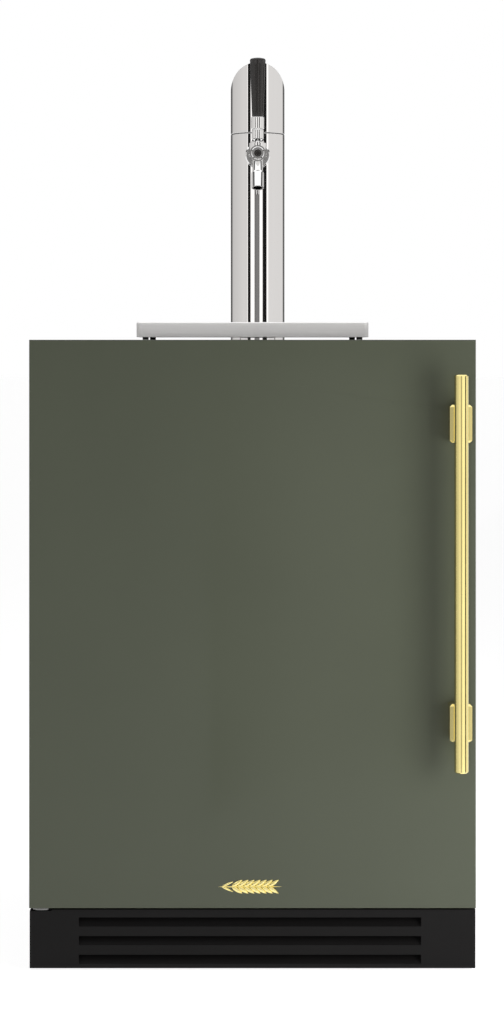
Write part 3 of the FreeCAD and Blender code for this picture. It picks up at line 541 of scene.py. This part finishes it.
def doorGasket():
    low, high = boxOf("door_gasket")
    half, back = gasket["half"], low.y
    reach = half[0][0]
    midX, lowZ, highZ = high.x - reach, low.z + reach, high.z - reach
    mirrored = [(-out, deep) for out, deep in reversed(half[1:])]
    profile = [(-reach, 0)] + half + [(0, gasket["crown"])] + mirrored
    corners = [(-1, -1), (1, -1), (1, 1), (-1, 1)]
    verts, faces, count = [], [], len(profile)
    for sx, sz in corners:
        for out, deep in profile:
            z = lowZ - out if sz < 0 else highZ + out
            verts.append((sx * (midX + out), back + deep, z))
    for k in range(4):
        for j in range(count):
            a, b = k * count, ((k + 1) % 4) * count
            faces.append([a + j, b + j, b + (j + 1) % count, a + (j + 1) % count])
    made = place("doorGasket", verts, faces, "gasketGrey", "door", "gasket_rubber", 50)
    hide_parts("door_gasket")


doorGasket()
print("tap handle, badge, bar and gasket built")


# tower: column and slanted cap, turned finely for a clean mirror
tower = {
    "steps": 256, "wall": 1.6, "rim": 0.7,
    "spigot": 14, "spigotWall": 1.5, "spigotLap": 3.8, "spigotSteps": 128, "slip": 0.1,
}


def towerColumn():
    low, high = boxOf("tower_column")
    radius, cx, cy = (high.x - low.x) / 2, (low.x + high.x) / 2, (low.y + high.y) / 2
    inner, rim = radius - tower["wall"], tower["rim"]
    outline = rounded([(inner, low.z, 0), (radius, low.z, rim), (radius, high.z, rim), (inner, high.z, 0)])
    tube = turned(outline, tower["steps"], (cx, cy, 0), closed=True)
    made = place("towerColumn", *tube, "towerMirror", "cabinet", "tower_steel", 40, even=True)
    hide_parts("tower_column")


def cappedTube(radius, cx, cy, base, arch):  # rings of a tube whose top falls away to the back at 45 degrees
    verts, steps = [], tower["steps"]
    for s in range(steps):
        a = 2 * math.pi * s / steps
        verts.append((cx + radius * math.cos(a), cy + radius * math.sin(a), base))
    verts += [(x, y, arch - (y - cy)) for x, y, z in verts]
    walls = [[s, (s + 1) % steps, steps + (s + 1) % steps, steps + s] for s in range(steps)]
    return verts, walls + [[steps + s for s in range(steps)]]


def towerCap():
    low, high = boxOf("tower_cap")
    radius, cx, cy = (high.x - low.x) / 2, (low.x + high.x) / 2, (low.y + high.y) / 2
    wall, steps = tower["wall"], tower["steps"]
    seam, arch = low.z + tower["spigot"], high.z - radius
    outer = cappedTube(radius, cx, cy, seam, arch)
    inner = cappedTube(radius - wall, cx, cy, seam, arch - wall * math.sqrt(2))
    verts, faces = joined(outer, inner)
    start = 2 * steps
    faces += [[s, (s + 1) % steps, start + (s + 1) % steps, start + s] for s in range(steps)]
    slip, top = radius - wall - tower["slip"], seam + tower["spigotLap"]
    neck = slip - tower["spigotWall"]
    outline = rounded([(neck, low.z, 0), (slip, low.z, 0.6), (slip, top, 0.2), (neck, top, 0)])
    spigot = turned(outline, tower["spigotSteps"], (cx, cy, 0), closed=True)
    made = place("towerCap", *joined((verts, faces), spigot), "towerMirror", "tower_cap", "tower_steel", 40)
    bevel = made.modifiers.new("bevel", "BEVEL")
    bevel.width, bevel.segments, bevel.limit_method = tower["rim"] / 1000, 3, "ANGLE"
    bevel.angle_limit = math.radians(30)
    made.modifiers.new("even", "WEIGHTED_NORMAL").weight = edges["evenness"]
    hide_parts("tower_cap")


# a dark rubber seal ring inside the cap's seam, there as painted shade: it makes the gap read as a dark
# shadow line
shadeSeal = {"proud": 1.2, "slack": 0.04, "edge": 0.2}


def capShadeSeal():  # a thin dark ring on the cap's spigot, in the seam
    columnHigh = boxOf("tower_column")[1]
    low, high = boxOf("tower_cap")
    cx, cy = (low.x + high.x) / 2, (low.y + high.y) / 2
    slack, edge = shadeSeal["slack"], shadeSeal["edge"]
    inner = (high.x - low.x) / 2 - tower["wall"] - tower["slip"] + slack
    outer = inner + shadeSeal["proud"]
    bottom, top = columnHigh.z + slack, low.z + tower["spigot"] - slack
    outline = rounded([(inner, bottom, 0), (outer, bottom, edge), (outer, top, edge), (inner, top, 0)], 3)
    ring = turned(outline, tower["steps"], (cx, cy, 0), closed=True)
    place("capShadeSeal", *ring, "footRubber", "tower_cap", "foot_rubber", 40)


towerColumn()
towerCap()
capShadeSeal()
print("tower column, cap and seal built")


# levelling legs: a threaded stem on a swivel pad
leg = {
    "pad": 19.0, "padHeight": 8.0, "collar": 7.5, "collarHeight": 4, "stem": 5.0, "plain": 5, "lead": 1,
    "pitch": 1.5, "depth": 0.11, "perTurn": 6, "steps": 36,
}


def levellingLeg(node):
    low, high = boxOf(node)
    cx, cy = (low.x + high.x) / 2, (low.y + high.y) / 2
    r, pad, top = leg["stem"], leg["pad"], low.z + leg["padHeight"]
    collar, shoulder = leg["collar"], top + leg["collarHeight"]
    start, end = shoulder + leg["plain"], high.z

    def thread(a, along):
        if along < start or along > end - leg["lead"]:
            return 1
        turn = ((along - start) / leg["pitch"] - a / (2 * math.pi)) % 1
        return 1 - leg["depth"] * abs(2 * turn - 1) * min(1, (along - start) / 2, (end - along) / 2)

    outline = rounded([(0, low.z, 0), (pad, low.z, 1.4), (pad, top, 1.6), (collar, top, 0.8),
                       (collar, shoulder, 0.8), (r, shoulder, 0), (r, start, 0)])
    threaded = end - start - leg["lead"]
    count = int(threaded / leg["pitch"] * leg["perTurn"])
    outline += [Vector((r, start + threaded * k / count)) for k in range(1, count + 1)]
    outline += [Vector((r - leg["lead"], end)), Vector((0, end))]
    verts, faces = turned(outline, leg["steps"], (cx, cy, 0), wave=thread)
    name = node.replace("_", "-") + "-threaded"
    made = place(name, verts, faces, "steelScrew", node, "zinc_steel", 50)
    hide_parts(node)


for legNode in legNodes:
    levellingLeg(legNode)
print("levelling legs built:", len(legNodes))


# faucet plug: a dark dished insert in its recess
insert = {
    "radius": 5.15, "recess": 2.4, "lift": 1.5, "slack": 0.02,
    "dish": 0.5, "dishRadius": 0.55, "rim": 0.7,  # the last two are shares of the radius
}


def plugInsert():
    low, high = boxOf("front_plug")
    cx, cz, floor = (low.x + high.x) / 2, (low.z + high.z) / 2, low.y + insert["recess"]
    r, h, slack = insert["radius"], insert["lift"], insert["slack"]
    dish = h - insert["dish"]
    outline = rounded([(0, dish, 0), (r * insert["dishRadius"], dish, 0.3), (r * insert["rim"], h, 0.4),
                       (r, h, 0.4), (r, slack, 0), (0, slack, 0)], 4)
    verts, faces = turned(outline, 64, (cx, floor, cz), (0, -1, 0))
    place("plugInsert", verts, faces, "gripBlack", "cabinet", "handle_black")


plugInsert()


# regulator gauges: bezel, dial, ticks and needle, placed from the middle, top and front of the regulator
gauge = {
    "names": ("lowGauge", "highGauge"), "needles": (-62, 38), "apart": 34, "drop": 20, "front": 4.0,
    "bezel": 18.9, "bezelInner": 16.4, "bezelBack": -1.6, "bezelFront": 2.4, "dial": 16.2, "dialFront": 0.5,
    "ticks": 11, "sweep": 270, "tickOuter": 14.6, "needle": (-3.5, 12.5), "needleWidth": 1.5, "hub": 1.8,
}


def stick(start, end, width, thick):  # a flat tapered bar lying on a dial, in its x and z
    a, b = Vector(start), Vector(end)
    side = Vector((-(b - a).y, (b - a).x)).normalized() * width / 2
    corners = [a - side, b - side * 0.4, b + side * 0.4, a + side]
    verts = [(c.x, -h, c.y) for h in (0, thick) for c in corners]
    return verts, [[0, 1, 2, 3], [7, 6, 5, 4], [0, 4, 5, 1], [1, 5, 6, 2], [2, 6, 7, 3], [3, 7, 4, 0]]


def spoke(angle, inner, outer, width, thick):  # a stick along a radius of the dial
    way = Vector((math.cos(angle), math.sin(angle)))
    return stick(way * inner, way * outer, width, thick)


def moved(part, x, y, z):
    return [Vector(v) + Vector((x, y, z)) for v in part[0]], part[1]


def gaugeFace(name, x, front, z, needleTurn):
    inner, outer = gauge["bezelInner"], gauge["bezel"]
    rear, proud, dialFront = gauge["bezelBack"], gauge["bezelFront"], gauge["dialFront"]
    rim = rounded([(inner, 0.2, 0), (inner, proud, 0.5), (outer, proud, 1.2), (outer, rear, 0)])
    bezel = turned(rim, 72, (x, front, z), (0, -1, 0))
    place(name + "Bezel", *bezel, "faucetChrome", "cabinet", "faucet_chrome", 40)
    dish = turned([(0, dialFront), (gauge["dial"], dialFront), (16.6, 0.1)], 64, (x, front, z), (0, -1, 0))
    place(name + "Dial", *dish, "buttonPale", "cabinet", "control_plastic", 40)
    marks = []
    for t in range(gauge["ticks"]):
        a = math.radians(225 - gauge["sweep"] * t / (gauge["ticks"] - 1))
        tickInner, width = (10.5, 0.9) if t % 5 == 0 else (12, 0.5)
        marks.append(spoke(a, tickInner, gauge["tickOuter"], width, 0.1))
    needle = spoke(math.radians(90 + needleTurn), *gauge["needle"], gauge["needleWidth"], 0.5)
    hubOutline = rounded([(0, 1.4, 0), (gauge["hub"], 1.4, 0.4), (gauge["hub"], 0, 0)])
    hub = turned(hubOutline, 24, (0, 0, 0), (0, -1, 0))
    marked = moved(joined(*marks, needle, hub), x, front - dialFront - 0.02, z)
    place(name + "Marks", *marked, "blackPowder", "cabinet", "handle_black", 40)


def gauges():
    low, high = boxOf("regulator")
    cx, front, z = (low.x + high.x) / 2, low.y + gauge["front"], high.z - gauge["drop"]
    for name, side, needleTurn in zip(gauge["names"], (-1, 1), gauge["needles"]):
        gaugeFace(name, cx + side * gauge["apart"], front, z, needleTurn)


gauges()
print("plug insert and gauges built")


# room, lights and camera, in metres and degrees
room = {"half": 70.0, "deep": (0.88, 0.88, 0.88), "light": (0.90, 0.90, 0.90), "lift": 0.85}


def floorPaint(paint):
    shade = paint.blend(paint.noise(0.8, 2), room["deep"], room["light"])
    return {"Base Color": shade, "Roughness": 0.9, "Specular IOR Level": 0.1,
            "Emission Color": (1, 1, 1, 1), "Emission Strength": room["lift"]}


def staged(name, verts, faces, look):  # a piece of the room, not of the object
    mesh = bpy.data.meshes.new(name)
    mesh.from_pydata(verts, [], faces)
    mesh.materials.append(material(name, look))
    made = bpy.data.objects.new(name, mesh)
    scene.collection.objects.link(made)
    return made


def floorPlane():
    s = room["half"]
    staged("floor", [(-s, -s, 0), (s, -s, 0), (s, s, 0), (-s, s, 0)], [[0, 1, 2, 3]], floorPaint)


lamps = {
    "key": {"spot": (1.1, -1.15, 0.35), "aim": (0.1, -0.28, 0.4), "size": (0.6, 1.1), "power": 24},
    "top": {"spot": (0, 0.2, 3.4), "aim": (0, 0, 0.5), "size": (2.6, 2.6), "power": 16},
    "sun": {"spot": (-0.66, -4.0, 0.8), "aim": (0, 0, 0.5), "strength": 0.7, "width": 0.5},
}


def hung(name, lamp):  # puts a light at its spot, turned to its aim and hidden from reflections
    spot, aim = Vector(lamps[name]["spot"]), Vector(lamps[name]["aim"])
    made = bpy.data.objects.new(name, lamp)
    scene.collection.objects.link(made)
    made.location = spot
    made.rotation_euler = (aim - spot).to_track_quat("-Z", "Y").to_euler()
    made.visible_glossy = False


def softbox(name):
    lamp = bpy.data.lights.new(name, "AREA")
    lamp.shape, lamp.energy = "RECTANGLE", lamps[name]["power"]
    lamp.size, lamp.size_y = lamps[name]["size"]
    hung(name, lamp)


def sunlight(name):
    lamp = bpy.data.lights.new(name, "SUN")
    lamp.energy, lamp.angle = lamps[name]["strength"], math.radians(lamps[name]["width"])
    hung(name, lamp)


def bearingBands(paint, way, bands, tint):  # brightness by bearing from straight ahead, in degrees
    bearing = paint.node("Math", {"operation": "ARCTAN2"}, {0: way["X"], 1: 0 - way["Y"]})["Value"]
    stops = [((b + 180) / 360, tuple(v * t for t in tint)) for b, v in bands]
    return paint.node("ValToRGB", {"stops": stops}, {"Fac": bearing * (0.5 / math.pi) + 0.5})["Color"]


studio = {  # what the mirror finish sees around it
    "bands": [(-180, 0.10), (-146, 0.10), (-132, 0.66), (-60, 0.80), (-46, 0.78), (-45, 1.35),
              (-43.6, 1.35), (-43, 0.012), (-31, 0.012), (-29.5, 1.3), (-14, 1.3), (-13, 0.06), (-10, 0.22),
              (4, 0.26), (7, 0.06), (8.5, 1.3), (20.5, 1.3), (21.5, 0.012), (38.5, 0.012), (39.5, 1.4),
              (46, 1.2), (48, 0.86), (132, 0.84), (146, 0.10), (180, 0.10)],
    "tint": (1, 0.985, 0.97), "ledge": 0.06, "overhead": 1.3, "ambient": 0.10,
}


def studioWorld():
    world = bpy.data.worlds.new("studio")
    world.use_nodes = True
    scene.world = world
    paint = Paint(world.node_tree)
    way = paint.node("SeparateXYZ", {}, {"Vector": paint.node("TexCoord")["Generated"]})
    bands = bearingBands(paint, way, studio["bands"], studio["tint"])
    heights = [(0, (0, 0, 0)), (0.32, (0, 0, 0)), (0.36, (1, 1, 1)), (1, (1, 1, 1))]
    above = paint.node("ValToRGB", {"stops": heights}, {"Fac": way["Z"]})["Color"]
    ledge, overhead = (studio["ledge"],) * 3, (studio["overhead"],) * 3
    tops = [(0, ledge), (0.5, ledge), (0.58, overhead), (1, overhead)]
    roof = paint.node("ValToRGB", {"stops": tops}, {"Fac": way["Z"]})["Color"]
    shade = paint.blend(above, bands, roof)
    light = paint.node("LightPath")
    shade = paint.blend(light["Is Glossy Ray"], (studio["ambient"],) * 3, shade)
    shade = paint.blend(light["Is Camera Ray"], shade, (1.0, 1.0, 1.0))
    surface = paint.node("Background", {}, {"Color": shade})["Background"]
    paint.node("OutputWorld", {}, {"Surface": surface})


card = {  # a curved card around the bar's front, seen only in reflections
    "radius": 0.34, "low": 0.20, "high": 0.835, "reach": 92, "steps": 60, "tint": (1, 0.985, 0.95),
    "bands": [(-92, 0.62), (-60, 0.76), (-46, 0.84), (-38, 1.05), (-20, 1.05), (-13, 1.0), (-9, 0.40),
              (0, 0.42), (6, 0.6), (11, 1.25), (48, 1.3), (56, 1.0), (59, 0.06), (77, 0.06), (81, 1.2),
              (92, 1.4)],
}


def cardPaint(paint):
    way = paint.node("SeparateXYZ", {}, {"Vector": paint.node("TexCoord")["Object"]})
    bands = bearingBands(paint, way, card["bands"], card["tint"])
    return {"Base Color": (0, 0, 0), "Specular IOR Level": 0.0,
            "Emission Color": bands, "Emission Strength": 1.0}


def reflector():
    low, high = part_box("handle_bar")
    radius, steps, verts = card["radius"], card["steps"], []
    for s in range(steps + 1):
        a = math.radians(card["reach"] * (2 * s / steps - 1))
        verts += [(radius * math.sin(a), -radius * math.cos(a), z) for z in (card["low"], card["high"])]
    faces = [[2 * s, 2 * s + 2, 2 * s + 3, 2 * s + 1] for s in range(steps)]
    made = staged("reflector", verts, faces, cardPaint)
    made.location = ((low.x + high.x) / 2, (low.y + high.y) / 2, 0)
    made.visible_camera = made.visible_diffuse = made.visible_shadow = made.visible_transmission = False


view = {"spot": (-0.0007, -3.881, 0.847), "lens": 93.35, "sensor": 36.0, "shift": -0.161}


def camera():
    lens = bpy.data.cameras.new("camera")
    lens.lens, lens.sensor_width, lens.shift_y = view["lens"], view["sensor"], view["shift"]
    made = bpy.data.objects.new("camera", lens)
    scene.collection.objects.link(made)
    made.location = view["spot"]
    made.rotation_euler = (math.radians(90), 0, 0)
    scene.camera = made


floorPlane()
reflector()
softbox("key")
sunlight("sun")
softbox("top")
studioWorld()
camera()
scene.view_settings.view_transform = "Standard"
print("room, lights and camera set")
